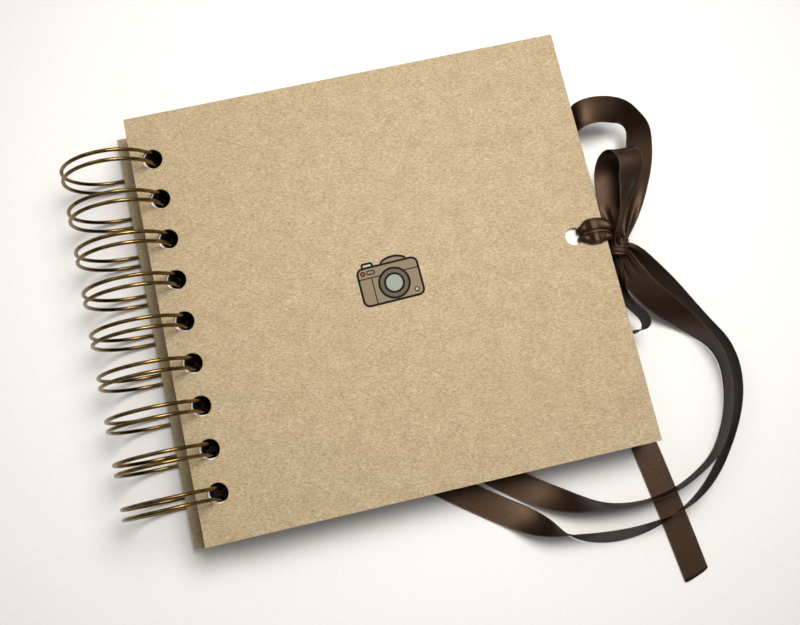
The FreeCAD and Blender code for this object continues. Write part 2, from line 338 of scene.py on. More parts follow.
@dataclass(frozen=True)
class LooseSheet:
    """An uncoated paper or card sheet with a soft tooth and a slightly paler cut edge."""

    name: str
    tone: str
    fleck: str
    edge: str
    roughness: float
    tooth: float = 0.6

    def material(self) -> bpy.types.Material:
        """Builds the sheet's material.

        Returns:
            The finished material.
        """
        material, shader = new_surface(self.name, {"Roughness": self.roughness,
                "Specular IOR Level": 0.25})
        tree = material.node_tree
        make = partial(add_node, tree)
        coords = make("TexCoord")
        # Paper tooth is near 0.1 mm; it is drawn at 0.6 mm so that it shows.
        grain = make("TexNoise", {"Scale": per_metre(self.tooth), "Detail": 4.0, "Roughness": 0.65},
                {"Vector": coords.outputs["Object"]})
        share = make("MapRange", {"From Min": 0.45, "From Max": 0.75}, {"Value": grain})
        tone = make("Mix", {"data_type": "RGBA", 6: linear(self.tone), 7: linear(self.fleck)},
                {0: share})
        upright = make("VectorMath", {"operation": "DOT_PRODUCT", 1: (0.0, 0.0, 1.0)},
                {0: coords.outputs["Normal"]})
        flat = make("Math", {"operation": "ABSOLUTE"}, {0: upright.outputs["Value"]})
        whole = make("Mix", {"data_type": "RGBA", 6: linear(self.edge)}, {0: flat, 7: tone.outputs[2]})
        tree.links.new(whole.outputs[2], shader.inputs["Base Color"])
        bump = make("Bump", {"Strength": 0.3, "Distance": 0.04 * MM}, {"Height": grain})
        tree.links.new(bump.outputs[0], shader.inputs["Normal"])
        return material


@dataclass(frozen=True)
class AntiqueBrass:
    """Steel wire plated with brass, then darkened and lightly polished.

    The eye gets a warm golden line where the polish wore the plating bright and a smoky brown
    elsewhere, with fine drawing marks along the wire.
    """

    name: str = "antique_brass_plated_wire"
    bright: str = "#977B45"
    smoky: str = "#4E3C22"
    patch: float = 4.0
    mark: float = 0.4

    def material(self) -> bpy.types.Material:
        """Builds the wire's material.

        Returns:
            The finished material.
        """
        material, shader = new_surface(self.name, {"Metallic": 1.0})
        tree = material.node_tree
        make = partial(add_node, tree)
        coords = make("TexCoord")
        place = coords.outputs["Object"]
        patches = make("TexNoise", {"Scale": per_metre(self.patch), "Detail": 4.0, "Roughness": 0.6},
                {"Vector": place})
        marks = make("TexNoise", {"Scale": per_metre(self.mark), "Detail": 2.0}, {"Vector": place})
        share = make("MapRange", {"From Min": 0.3, "From Max": 0.75}, {"Value": patches})
        tone = make("Mix", {"data_type": "RGBA", 6: linear(self.smoky), 7: linear(self.bright)},
                {0: share})
        tree.links.new(tone.outputs[2], shader.inputs["Base Color"])
        rough = make("MapRange", {"To Min": 0.16, "To Max": 0.3}, {"Value": marks})
        tree.links.new(rough.outputs[0], shader.inputs["Roughness"])
        bump = make("Bump", {"Strength": 0.15, "Distance": 0.03 * MM}, {"Height": marks})
        tree.links.new(bump.outputs[0], shader.inputs["Normal"])
        return material


@dataclass(frozen=True)
class SatinRibbon:
    """Dark brown polyester ribbon woven in satin, with a corded woven edge.

    The long floating threads give the eye a broad soft gleam that dies to near black where the
    cloth turns away, a fine grain of stitches where the floats are tied down, and a row of tiny
    loops along each edge, drawn lighter than the thread as painted glints where they catch the
    light.
    """

    name: str = "satin_ribbon_woven_brown"
    thread: str = "#251811"
    tie: str = "#040201"
    # The loop colour is lighter than the thread: painted glints where the edge loops catch the light.
    loop: str = "#574538"
    width: float = 12.7
    float_length: float = 0.95
    float_width: float = 0.62
    edge_width: float = 0.6
    edge_loop: float = 0.85

    def material(self) -> bpy.types.Material:
        """Builds the ribbon's material.

        Returns:
            The finished material.
        """
        material, shader = new_surface(self.name, {"Specular Tint": linear("#F0C4A0")})
        tree = material.node_tree
        make = partial(add_node, tree)
        # Loose floats scatter light instead of mirroring it, so the gleam fades towards grazing angles.
        turned = make("LayerWeight", {"Blend": 0.5})
        gleam = make("MapRange", {"From Min": 0.25, "From Max": 0.75, "To Min": 0.62, "To Max": 0.02},
                {"Value": turned.outputs["Facing"]})
        tree.links.new(gleam.outputs[0], shader.inputs["Specular IOR Level"])
        cloth = make("Attribute", {"attribute_name": "cloth_mm"})
        place = cloth.outputs["Vector"]
        # Real floats are 0.1 mm wide and 0.4 mm long; they are drawn several times as coarse so
        # that they show.
        scale = (1.0 / self.float_width, 1.0 / self.float_length, 1.0)
        sized = make("Mapping", {"Scale": scale}, {"Vector": place})
        floats = make("TexNoise", {"Scale": 1.0, "Detail": 2.0, "Roughness": 0.7}, {"Vector": sized})
        creases = make("TexNoise", {"Scale": 0.12, "Detail": 2.0}, {"Vector": place})
        ties = make("MapRange", {"From Min": 0.36, "From Max": 0.66}, {"Value": floats})
        tone = make("Mix", {"data_type": "RGBA", 6: linear(self.tie), 7: linear(self.thread)},
                {0: ties})
        parts = make("SeparateXYZ", None, {0: place})
        reach = make("Math", {"operation": "ABSOLUTE"}, {0: parts.outputs["X"]})
        half = self.width / 2.0
        border = make("MapRange", {"From Min": half - self.edge_width,
                "From Max": half - 0.6 * self.edge_width}, {"Value": reach})
        turn = make("Math", {"operation": "MULTIPLY", 1: 2.0 * math.pi / self.edge_loop},
                {0: parts.outputs["Y"]})
        wave = make("Math", {"operation": "SINE"}, {0: turn})
        loops = make("MapRange", {"From Min": -0.2, "From Max": 0.8}, {"Value": wave})
        # The edge's loops get the lighter loop colour as painted glints where they catch the light; the
        # same dots raise the cord's bump.
        cord_dots_and_glints = make("Math", {"operation": "MULTIPLY"}, {0: border, 1: loops})
        tone_with_painted_glints = make("Mix", {"data_type": "RGBA", 7: linear(self.loop)},
                {0: cord_dots_and_glints, 6: tone.outputs[2]})
        tree.links.new(tone_with_painted_glints.outputs[2], shader.inputs["Base Color"])
        rough = make("MapRange", {"To Min": 0.3, "To Max": 0.6}, {"Value": floats})
        tree.links.new(rough.outputs[0], shader.inputs["Roughness"])
        weave = make("Bump", {"Strength": 0.9, "Distance": 0.12 * MM}, {"Height": floats})
        cord = make("Bump", {"Strength": 0.6, "Distance": 0.12 * MM},
                {"Height": cord_dots_and_glints, "Normal": weave})
        soft = make("Bump", {"Strength": 0.3, "Distance": 0.5 * MM},
                {"Height": creases, "Normal": cord})
        tree.links.new(soft.outputs[0], shader.inputs["Normal"])
        return material


@dataclass(frozen=True)
class PrintedInk:
    """Pigment ink printed straight on kraft board: flat colour that the fibres break up a little."""

    name: str
    tone: str
    thins: float = 0.3
    shows_through: str = "#A8926C"
    fibre: float = 0.5

    def material(self) -> bpy.types.Material:
        """Builds the ink's material.

        Returns:
            The finished material.
        """
        material, shader = new_surface(self.name, {"Roughness": 0.75, "Specular IOR Level": 0.12})
        tree = material.node_tree
        make = partial(add_node, tree)
        coords = make("TexCoord")
        grain = make("TexNoise", {"Scale": per_metre(self.fibre), "Detail": 3.0, "Roughness": 0.6},
                {"Vector": coords.outputs["Object"]})
        thin = make("MapRange", {"From Min": 0.5, "From Max": 0.75, "To Max": self.thins},
                {"Value": grain})
        tone = make("Mix", {"data_type": "RGBA", 6: linear(self.tone), 7: linear(self.shows_through)},
                {0: thin})
        tree.links.new(tone.outputs[2], shader.inputs["Base Color"])
        bump = make("Bump", {"Strength": 0.2, "Distance": 0.03 * MM}, {"Height": grain})
        tree.links.new(bump.outputs[0], shader.inputs["Normal"])
        return material


@dataclass(frozen=True)
class BackdropPaper:
    """Seamless matt backdrop paper: an even near-white with a barely visible tooth."""

    name: str = "seamless_backdrop_paper"
    tone: str = "#F7F6F4"
    shade: str = "#EFEEEC"
    tooth: float = 2.0

    def material(self) -> bpy.types.Material:
        """Builds the backdrop's material.

        Returns:
            The finished material.
        """
        material, shader = new_surface(self.name, {"Roughness": 0.95, "Specular IOR Level": 0.1})
        tree = material.node_tree
        make = partial(add_node, tree)
        coords = make("TexCoord")
        grain = make("TexNoise", {"Scale": per_metre(self.tooth), "Detail": 2.0},
                {"Vector": coords.outputs["Object"]})
        tone = make("Mix", {"data_type": "RGBA", 6: linear(self.tone), 7: linear(self.shade)},
                {0: grain})
        tree.links.new(tone.outputs[2], shader.inputs["Base Color"])
        return material


def dress(piece: bpy.types.Object, material: bpy.types.Material) -> None:
    """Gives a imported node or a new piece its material.

    Args:
        piece: The object to dress.
        material: Its finish.
    """
    if not piece.material_slots:
        piece.data.materials.append(material)
    for slot in piece.material_slots:
        slot.material = material


# ---------------------------------------------------------------- ribbons


class Stop(NamedTuple):
    """A place that a ribbon passes through: its middle, its lean and how far it is gathered.

    Lean 0 lies flat and 90 stands on edge, in degrees. Full is the share of the width it keeps.
    Bearing is the compass turn of the direction across the ribbon, for a ribbon that is aimed.
    """

    x: float
    y: float
    z: float
    lean: float = 0.0
    full: float = 1.0
    bearing: float = 0.0


def laid_line(stops: Sequence[Stop], spacing: float, ease: int) -> np.ndarray:
    """Runs one smooth line through the stops.

    Args:
        stops: The places, in order.
        spacing: The distance between the line's points.
        ease: How many times the line is relaxed, as limp cloth does.

    Returns:
        Evenly spaced rows of x, y, z, lean, full and bearing.
    """
    knots = np.array(stops, float)
    gaps = np.linalg.norm(np.diff(knots[:, :3], axis=0), axis=1)
    places = np.concatenate(([0.0], np.cumsum(gaps)))
    rates = np.diff(knots, axis=0) / gaps[:, None]
    slopes = np.empty_like(knots)
    slopes[0], slopes[-1] = rates[0], rates[-1]
    weight = (gaps[:-1] / (gaps[:-1] + gaps[1:]))[:, None]
    slopes[1:-1] = rates[:-1] * (1.0 - weight) + rates[1:] * weight
    fine = np.linspace(0.0, places[-1], max(64, int(places[-1] * 8)))
    index = np.clip(np.searchsorted(places, fine, side="right") - 1, 0, len(gaps) - 1)
    step = gaps[index][:, None]
    part = ((fine - places[index]) / gaps[index])[:, None]
    line = ((2 * part ** 3 - 3 * part ** 2 + 1) * knots[index]
            + (part ** 3 - 2 * part ** 2 + part) * step * slopes[index]
            + (3 * part ** 2 - 2 * part ** 3) * knots[index + 1]
            + (part ** 3 - part ** 2) * step * slopes[index + 1])
    run = np.concatenate(([0.0], np.cumsum(np.linalg.norm(np.diff(line[:, :3], axis=0), axis=1))))
    even = np.linspace(0.0, run[-1], max(8, int(round(run[-1] / spacing)) + 1))
    rows = np.stack([np.interp(even, run, line[:, column]) for column in range(line.shape[1])], axis=1)
    for _ in range(ease):
        rows[1:-1] = 0.25 * rows[:-2] + 0.5 * rows[1:-1] + 0.25 * rows[2:]
    return rows


def unit_rows(vectors: np.ndarray) -> np.ndarray:
    """Scales each row to length one."""
    return vectors / np.maximum(np.linalg.norm(vectors, axis=-1, keepdims=True), 1e-9)


@dataclass
class Ribbon:
    """One run of the satin ribbon, from its stops to a finished piece."""

    name: str
    stops: Sequence[Stop]
    body: Body
    node: str
    held: str
    rests_on: Sequence[str]
    aimed: bool = False
    section: Section = Section.PLEATS
    width: float = 12.7
    thick: float = 0.28
    cup: float = 0.35
    ripple: float = 0.12
    folds: int = 3
    lobe: float = 2.3
    spacing: float = 1.5
    ease: int = 6
    strips: int = 24
    cut_slant: float = 0.0
    cut_round: float = 0.0
    with_pieces: list = field(default_factory=list)

    def sides(self, rows: np.ndarray, along: np.ndarray) -> np.ndarray:
        """Works out the direction across the ribbon at each row.

        Args:
            rows: The ribbon's line.
            along: Its unit directions of travel.

        Returns:
            Unit vectors across the ribbon.
        """
        turn = np.radians(rows[:, 3])[:, None]
        if not self.aimed:
            level = unit_rows(np.cross(np.array((0.0, 0.0, 1.0)), along))
            return level * np.cos(turn) + np.cross(along, level) * np.sin(turn)
        bearing = np.radians(rows[:, 5])[:, None]
        aim = np.hstack((np.cos(bearing) * np.cos(turn), np.sin(bearing) * np.cos(turn), np.sin(turn)))
        return unit_rows(aim - (along * aim).sum(axis=1, keepdims=True) * along)

    def relief(self, place: np.ndarray, full: float, travelled: float) -> np.ndarray:
        """Works out how far the cloth stands off its flat line.

        Args:
            place: Places across the ribbon from -1 to 1.
            full: The share of the width kept here.
            travelled: Distance along the ribbon.

        Returns:
            One height for each place.
        """
        spare = math.sqrt(max(1.0 / full ** 2 - 1.0, 0.0))
        wave = self.ripple * np.sin(travelled / 7.0
                + 1.3 * place) * np.sin(travelled / 17.0 - 0.6 * place)
        if self.section is Section.TWO_LOBES:
            arch = 1.0 - (2.0 * np.abs(place) - 1.0) ** 2
            return wave + (self.lobe * min(1.0, 0.35 + spare)) * np.sqrt(np.clip(arch, 0.0, 1.0))
        rise = self.width * full / self.folds * spare * 0.25
        drift = 0.9 * math.sin(travelled / 13.0)
        return wave + self.cup * (1.0 - place ** 2) + rise * np.cos(self.folds * math.pi * place
                + drift)

    def build(self, album: AlbumFrame, finish: bpy.types.Material) -> bpy.types.Object:
        """Makes the ribbon, dresses it and gives it to its body.

        Args:
            album: The album's frame.
            finish: The satin.

        Returns:
            The finished piece.
        """
        rows = laid_line(self.stops, self.spacing, self.ease)
        along = unit_rows(np.gradient(rows[:, :3], axis=0))
        sides = self.sides(rows, along)
        place = np.sin(np.linspace(-0.5, 0.5, self.strips + 1) * math.pi * 0.96)
        place = place / place[-1]
        length = float(np.linalg.norm(np.diff(rows[:, :3], axis=0), axis=1).sum())
        travelled = np.linspace(0.0, length, len(rows))
        ease_out = np.clip(1.0 - (length - travelled) / 9.0, 0.0, 1.0) ** 2
        normals = np.cross(along, sides)
        middle = np.empty((len(rows), len(place), 3))
        for number, row in enumerate(rows):
            full = min(max(row[4], 0.2), 1.0)
            height = self.relief(place, full, travelled[number])
            slide = ease_out[number] * (self.cut_slant * place - self.cut_round * np.abs(place) ** 5)
            middle[number] = (row[:3] + np.outer(place * self.width * full / 2.0, sides[number])
                    + np.outer(height, normals[number]) + np.outer(slide, along[number]))
        cross_step = np.gradient(middle, axis=1)
        long_step = np.gradient(middle, axis=0)
        off = unit_rows(np.cross(long_step, cross_step)) * self.thick / 2.0
        layers = [middle + off, middle - off]
        points = [album.at(point) for layer in layers for line in layer for point in line]
        count, wide = len(rows), len(place)
        faces = []
        for line in range(count - 1):
            for strip in range(wide - 1):
                first = line * wide + strip
                quad = (first, first + 1, first + wide + 1, first + wide)
                faces.append(quad[::-1])
                faces.append(tuple(count * wide + corner for corner in quad))
        rim = [strip for strip in range(wide)] + [line * wide + wide - 1 for line in range(1, count)]
        rim += [(count - 1) * wide + strip for strip in range(wide - 2, -1, -1)]
        rim += [line * wide for line in range(count - 2, 0, -1)]
        for here, there in zip(rim, rim[1:] + rim[:1]):
            faces.append((here, there, count * wide + there, count * wide + here))
        piece = mesh_piece(self.name, points, faces)
        flat_places = [(spot * self.width / 2.0, run) for _ in layers for run in travelled
                for spot in place]
        cloth_places(piece, flat_places)
        dress(piece, finish)
        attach(piece, self.body.value)
        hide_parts(self.node)
        LOG.info("%s: %.0f mm of ribbon", self.name, length)
        return piece


# ---------------------------------------------------------------- sub-assemblies


@dataclass
class Covers:
    """The two die-cut kraft covers."""

    hole_in: float = 9.9
    hole_first: float = 22.1
    sway: float = 8.605

    def build(self, album: AlbumFrame) -> None:
        """Dresses both covers.

        Args:
            album: The album's frame.
        """
        columns = {"front_cover": self.hole_in, "back_cover": self.hole_in - self.sway}
        for name, column in columns.items():
            height = 0.0 if name == "front_cover" else -24.0
            start = album.at((column, self.hole_first, height))
            dress(frame["nodes"][name], KraftBoard(f"kraft_board_{name}", start).material())
            LOG.info("%s dressed", name)


@dataclass
class Leaves:
    """The white fly leaf and the black card leaves."""

    fly: LooseSheet = LooseSheet("white_wove_paper", "#F2F0EA", "#E4E1D8", "#DAD6CC", 0.85)
    card: LooseSheet = LooseSheet("black_dyed_card", "#141314", "#232123", "#2B292A", 0.8)

    def build(self) -> None:
        """Dresses every leaf."""
        white = self.fly.material()
        black = self.card.material()
        for name, node in frame["nodes"].items():
            if name == "flyleaf":
                dress(node, white)
            elif name.startswith("leaf_"):
                dress(node, black)
        LOG.info("leaves dressed")


@dataclass
class WireBinding:
    """The nine twin loops of the wire binding."""

    finish: AntiqueBrass = AntiqueBrass()

    def build(self) -> None:
        """Dresses every loop."""
        brass = self.finish.material()
        for name, node in frame["nodes"].items():
            if name.startswith("wire_loop"):
                dress(node, brass)
        LOG.info("wire binding dressed")


@dataclass
class CoverPrint:
    """A small printed camera near the middle of the front cover."""

    middle: tuple[float, float] = (106.4, 99.0)
    turn: float = 1.5
    size: tuple[float, float] = (28.6, 18.0)
    corner: float = 2.8
    hump_at: float = 3.4
    hump: tuple[float, float] = (11.6, 2.7)
    line: float = 1.0
    seam: float = 0.5
    lens_at: tuple[float, float] = (1.6, -0.8)
    lens: float = 7.1
    glass: float = 4.4
    film: float = 0.03

    def rounded(self, middle: tuple[float, float], size: tuple[float, float],
            radius: float) -> list[tuple[float, float]]:
        """Draws a rectangle with rounded corners.

        Args:
            middle: Its middle.
            size: Its width and height.
            radius: Its corner radius.

        Returns:
            Its outline, anticlockwise.
        """
        outline = []
        for quarter, (right, top) in enumerate(((1, 1), (-1, 1), (-1, -1), (1, -1))):
            centre = (middle[0] + right * (size[0] / 2.0 - radius), middle[1]
                    + top * (size[1] / 2.0 - radius))
            for step in range(9):
                angle = math.pi / 2.0 * (quarter + step / 8.0)
                outline.append((centre[0] + radius * math.cos(angle), centre[1]
                        + radius * math.sin(angle)))
        return outline

    def disc(self, middle: tuple[float, float], radius: float) -> list[tuple[float, float]]:
        """Draws a circle."""
        turns = [2.0 * math.pi * step / 48.0 for step in range(48)]
        return [(middle[0] + radius * math.cos(turn), middle[1] + radius * math.sin(turn))
                for turn in turns]

    def bump(self) -> list[tuple[float, float]]:
        """Draws the rounded hump that stands on the casing.

        Returns:
            Its outline, anticlockwise.
        """
        wide, high = self.hump
        low = self.size[1] / 2.0 - self.line / 2.0
        outline = [(self.hump_at - wide / 2.0, low), (self.hump_at + wide / 2.0, low)]
        for step in range(25):
            share = step / 24.0
            bell = math.sin(math.pi * (0.06 + 0.88 * share)) ** 0.5
            outline.append((self.hump_at + wide * (0.5 - share), low + (high + self.line / 2.0) * bell))
        return outline

    def grown(self, outline: Sequence[tuple[float, float]], by: float) -> list[tuple[float, float]]:
        """Moves an outline outwards.

        Args:
            outline: A closed outline, anticlockwise.
            by: How far to move it.

        Returns:
            The moved outline.
        """
        moved = []
        count = len(outline)
        for index, (x, y) in enumerate(outline):
            before = Vector(outline[index - 1])
            after = Vector(outline[(index + 1) % count])
            way = (after - before).normalized()
            moved.append((x + way.y * by, y - way.x * by))
        return moved

    def build(self, album: AlbumFrame) -> bpy.types.Object:
        """Lays the inks on the cover, one film for each colour.

        Args:
            album: The album's frame.

        Returns:
            The print.
        """
        inks = [PrintedInk("ink_black_outline", "#0D0B0A", 0.08),
                PrintedInk("ink_taupe_casing", "#827560"), PrintedInk("ink_taupe_lens_ring",
                "#5C5246"), PrintedInk("ink_sage_glass", "#8E988B", 0.2),
                PrintedInk("ink_red_dot", "#B03A24", 0.1), PrintedInk("ink_pale_button", "#A5AE9C")]
        black, taupe, ring, sage, red, pale = range(6)
        points: list[Vector] = []
        faces: list[tuple[int, ...]] = []
        shades: list[int] = []
        spin = math.radians(self.turn)

        def spot(x: float, y: float, layer: int) -> Vector:
            """Carries a drawn place onto the cover."""
            along = self.middle[0] + x * math.cos(spin) - y * math.sin(spin)
            up = self.middle[1] + x * math.sin(spin) + y * math.cos(spin)
            return album.at((along, up, 0.02 + self.film * layer))

        def fill(outline: Sequence[tuple[float, float]], layer: int, shade: int) -> None:
            """Fills an outline with a fan of faces."""
            start = len(points)
            centre = (sum(x for x, _ in outline) / len(outline),
                    sum(y for _, y in outline) / len(outline))
            points.extend(spot(x, y, layer) for x, y in outline)
            points.append(spot(centre[0], centre[1], layer))
            for index in range(len(outline)):
                faces.append((start + index, start + (index + 1) % len(outline), start + len(outline)))
                shades.append(shade)

        def stroke(outline: Sequence[tuple[float, float]], layer: int, shade: int, wide: float) -> None:
            """Draws a closed line of even width."""
            start = len(points)
            count = len(outline)
            points.extend(spot(x, y, layer) for x, y in self.grown(outline, wide / 2.0))
            points.extend(spot(x, y, layer) for x, y in self.grown(outline, -wide / 2.0))
            for index in range(count):
                after = (index + 1) % count
                faces.append((start + index, start + after, start + count + after, start + count
                        + index))
                shades.append(shade)

        wide, high = self.size
        top = high / 2.0
        seam_low, seam_up = (-8.2, -top / 2.0 + 2.0), (0.0, top - 5.0)
        winder = self.rounded((-9.0, top + 0.7), (4.8, 2.6), 0.8)
        slot = self.rounded((-8.0, top - 2.5), (3.6, 1.6), 0.75)
        casing = self.rounded((0.0, 0.0), self.size, self.corner)
        for outline, shade in ((winder, pale), (self.bump(), taupe)):
            fill(outline, 0, shade)
            stroke(outline, 1, black, self.line)
        fill(casing, 2, taupe)
        fill(self.rounded(seam_up, (wide - 0.4, self.seam), 0.2), 3, black)
        fill(self.rounded(seam_low, (self.seam, high - 5.2), 0.2), 3, black)
        stroke(casing, 4, black, self.line)
        fill(self.disc(self.lens_at, self.lens), 4, ring)
        stroke(self.disc(self.lens_at, self.lens), 5, black, self.line)
        fill(self.disc(self.lens_at, self.glass), 5, sage)
        stroke(self.disc(self.lens_at, self.glass), 6, black, self.line)
        stroke(slot, 4, black, self.seam)
        for place, radius, shade in (((-11.8, top - 2.5), 0.95, red), ((11.1, -6.2), 0.95, pale)):
            fill(self.disc(place, radius), 3, shade)
            stroke(self.disc(place, radius), 4, black, self.seam)
        piece = mesh_piece("cover_print_camera", points, faces)
        for ink in inks:
            piece.data.materials.append(ink.material())
        piece.data.polygons.foreach_set("material_index", shades)
        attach(piece, Body.FRONT.value)
        LOG.info("cover print laid")
        return piece


@dataclass
class Knot:
    """The knot: one turn of ribbon pulled tight round the gathered bow."""

    middle: Place = (216.2, 92.2, -1.9)
    half: Place = (4.6, 4.2, 3.6)
    turn: float = -17.0
    around: int = 56
    across: int = 26

    def ring(self, share: float, pull: float) -> list[Place]:
        """One ring of the wrap.

        Args:
            share: The place across the wrap, from -1 to 1.
            pull: How much the ring is drawn in.

        Returns:
            The ring's points, before the knot is turned.
        """
        points = []
        for step in range(self.around):
            angle = 2.0 * math.pi * step / self.around
            fold = 1.0 + 0.055 * math.cos(4.6 * math.pi * share + 1.7 * math.sin(angle + 0.6))
            fold += 0.02 * math.sin(9.0 * math.pi * share + angle)
            reach = pull * fold
            x = math.copysign(abs(math.cos(angle)) ** 0.78, math.cos(angle)) * self.half[0] * reach
            z = math.copysign(abs(math.sin(angle)) ** 0.78, math.sin(angle)) * self.half[2] * reach
            sag = 0.35 * math.sin(angle) * share
            points.append((x, share * self.half[1] + sag + 0.25 * math.cos(angle), z))
        return points

    def build(self, album: AlbumFrame, finish: bpy.types.Material) -> bpy.types.Object:
        """Makes the knot and gives it to the back.

        Args:
            album: The album's frame.
            finish: The satin.

        Returns:
            The finished piece.
        """
        spin = Matrix.Rotation(math.radians(self.turn), 3, "Z")
        rings = []
        for index in range(self.across + 1):
            share = -1.0 + 2.0 * index / self.across
            rings.append((share, 0.7 + 0.3 * (1.0 - abs(share) ** 3.2) ** 0.6))
        inner = [(0.93, 0.5), (0.86, 0.3), (0.84, 0.12)]
        rings = [(-share, pull) for share, pull in reversed(inner)] + rings + inner
        points, places = [], []
        for number, (share, pull) in enumerate(rings):
            for step, point in enumerate(self.ring(share, pull)):
                points.append(album.at(spin @ Vector(point) + Vector(self.middle)))
                places.append((share * 5.0, step * 24.0 / self.around))
        faces = []
        for ring in range(len(rings) - 1):
            for step in range(self.around):
                here, there = ring * self.around + step, ring * self.around + (step + 1) % self.around
                faces.append((here, here + self.around, there + self.around, there))
        last = (len(rings) - 1) * self.around
        faces.append(tuple(range(self.around)))
        faces.append(tuple(last + step for step in reversed(range(self.around))))
        piece = mesh_piece("bow_knot_wrap", points, faces)
        cloth_places(piece, places)
        dress(piece, finish)
        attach(piece, Body.BACK.value)
        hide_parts("bow_knot")
        LOG.info("knot tied")
        return piece


@dataclass
class Bow:
    """Everything tied at the fore edge: two loops, two long ends and a short curl."""

    album: AlbumFrame
    width: float = 12.7
    clear: float = 0.75

    def standing(self, x: float, y: float, lean: float, lift: float = 0.0) -> Stop:
        """A stop whose lower edge is held just above the table.

        Args:
            x: Place along the album's width.
            y: Place along its height.
            lean: The ribbon's lean.
            lift: Extra height of the lower edge.

        Returns:
            The stop.
        """
        rise = abs(math.sin(math.radians(lean))) * self.width / 2.0
        return Stop(x, y, self.album.table(x) + self.clear + lift + rise, lean)

    def large_loop(self) -> Ribbon:
        """The large loop, held low beside the leaves and swung out from the fore edge."""
        stops = [Stop(*row) for row in ((215.8, 94.0, -3.0, 80, 0.4, 270),
                (214.2, 98.5, -5.0, 86, 0.66, 270), (212.9, 107.0, -9.0, 90, 0.96, 270),
                (212.5, 121.0, -13.4, 90, 1.0, 270), (212.3, 136.5, -16.6, 82, 1.0, 270),
                (212.2, 149.0, -15.4, 60, 1.0, 270), (212.1, 156.4, -10.8, 24, 1.0, 270),
                (212.5, 159.6, -6.0, 4, 1.0, 270), (214.6, 160.8, -3.4, -2, 1.0, 272),
                (219.0, 161.6, -2.6, -10, 1.0, 278), (226.0, 161.6, -3.4, -20, 1.0, 282),
                (233.0, 160.2, -5.0, -32, 1.0, 268), (238.2, 157.8, -6.2, -56, 1.0, 244),
                (241.2, 154.4, -7.0, -66, 1.0, 222), (242.6, 149.6, -6.8, -46, 1.0, 200),
                (241.0, 141.2, -6.4, -26, 1.0, 185), (238.7, 133.2, -6.2, -20, 1.0, 174),
                (234.3, 123.8, -5.8, -17, 1.0, 166), (228.2, 113.2, -5.2, -14, 0.97, 160),
                (222.8, 104.0, -4.4, -8, 0.8, 158), (219.4, 98.0, -3.2, -4, 0.56, 158),
                (217.4, 94.0, -2.4, 0, 0.4, 158))]
        return Ribbon("bow_loop_large_satin", stops, Body.BACK, "bow_loop_large", "folded",
                ("bow_knot",), aimed=True, folds=2)

    def small_loop(self) -> Ribbon:
        """The small loop, arched up from the knot with its hollow facing the covers."""
        stops = [Stop(*row) for row in ((215.8, 93.0, -1.0, 0, 0.4), (216.2, 98.0, -0.4, 0, 0.56),
                (217.2, 103.6, 0.2, 0, 0.86), (217.6, 112.0, 0.5, 0), (218.0, 121.0, 0.6, 0),
                (219.4, 129.0, 1.2, -4), (222.0, 134.4, 4.2, -6), (225.4, 136.2, 8.6, -8),
                (228.0, 132.8, 12.4, -10), (227.8, 127.0, 12.8, -14), (225.2, 120.4, 11.0, -26),
                (221.8, 113.4, 8.6, -46, 0.92), (218.4, 104.6, 6.0, -52, 0.72),
                (216.0, 97.6, 3.2, -36, 0.56), (215.8, 92.8, 0.4, -10, 0.42))]
        return Ribbon("bow_loop_small_satin", stops, Body.BACK, "bow_loop_small", "folded",
                ("bow_knot",), aimed=True, folds=2, spacing=1.2, ease=4)

    def outer_end(self, knot: bpy.types.Object) -> Ribbon:
        """The longer end: on edge round a wide sweep, then flat under the album."""
        stops = [Stop(*row) for row in ((217.0, 92.4, -2.8, 50, 0.5), (221.2, 89.8, -4.8, 56, 0.8),
                (227.8, 83.4, -8.6, 62, 1.0), (237.6, 71.8, -12.6, 70))]
        stops += [self.standing(*row) for row in ((245.8, 60.2, 78, 1.0), (253.2, 48.2, 86, 0.2),
                (258.3, 39.5, 89), (260.4, 29.6, 90), (259.6, 18.7, 90), (256.8, 9.0, 90),
                (252.0, -0.6, 90), (245.4, -10.4, 90), (237.0, -20.6, 90), (227.0, -28.8, 92),
                (215.6, -34.4, 98), (204.4, -37.3, 110), (193.5, -38.6, 116), (183.0, -38.4, 117),
                (172.4, -36.6, 111), (163.6, -33.4, 95), (157.4, -30.4, 68), (151.0, -26.4, 38),
                (143.0, -20.8, 10), (132.0, -13.2, 0), (117.0, -2.0, 0), (96.0, 14.0, 0))]
        return Ribbon("bow_end_outer_satin", stops, Body.BACK, "bow_tail_outer", "laid", ("bow_knot",),
                cup=0.1, ripple=0.05, with_pieces=[knot])

    def inner_end(self) -> Ribbon:
        """The shorter end, inside the longer one."""
        stops = [Stop(*row) for row in ((216.4, 91.4, -3.4, 14, 0.56), (217.8, 86.4, -5.0, 12, 0.8),
                (220.8, 79.0, -7.2, 12, 1.0), (225.4, 71.4, -9.6, 16), (231.8, 63.8, -12.2, 28),
                (240.2, 55.2, -15.0, 50), (247.2, 47.0, -16.6, 68))]
        stops += [self.standing(*row) for row in ((253.0, 38.8, 84), (255.6, 29.6, 90),
                (255.0, 19.4, 90), (251.8, 7.6, 90), (246.8, -2.6, 90), (239.6, -12.0, 90),
                (229.0, -19.0, 90), (217.6, -23.8, 90), (204.4, -26.1, 88), (192.3, -25.9, 84),
                (182.6, -24.2, 76), (173.0, -21.3, 56), (163.6, -17.2, 30), (154.4, -11.8, 8),
                (145.0, -5.0, 0), (134.0, 3.4, 0), (120.0, 14.0, 0))]
        return Ribbon("bow_end_inner_satin", stops, Body.BACK, "bow_tail_inner", "laid", ("bow_knot",),
                cup=0.1, ripple=0.05)

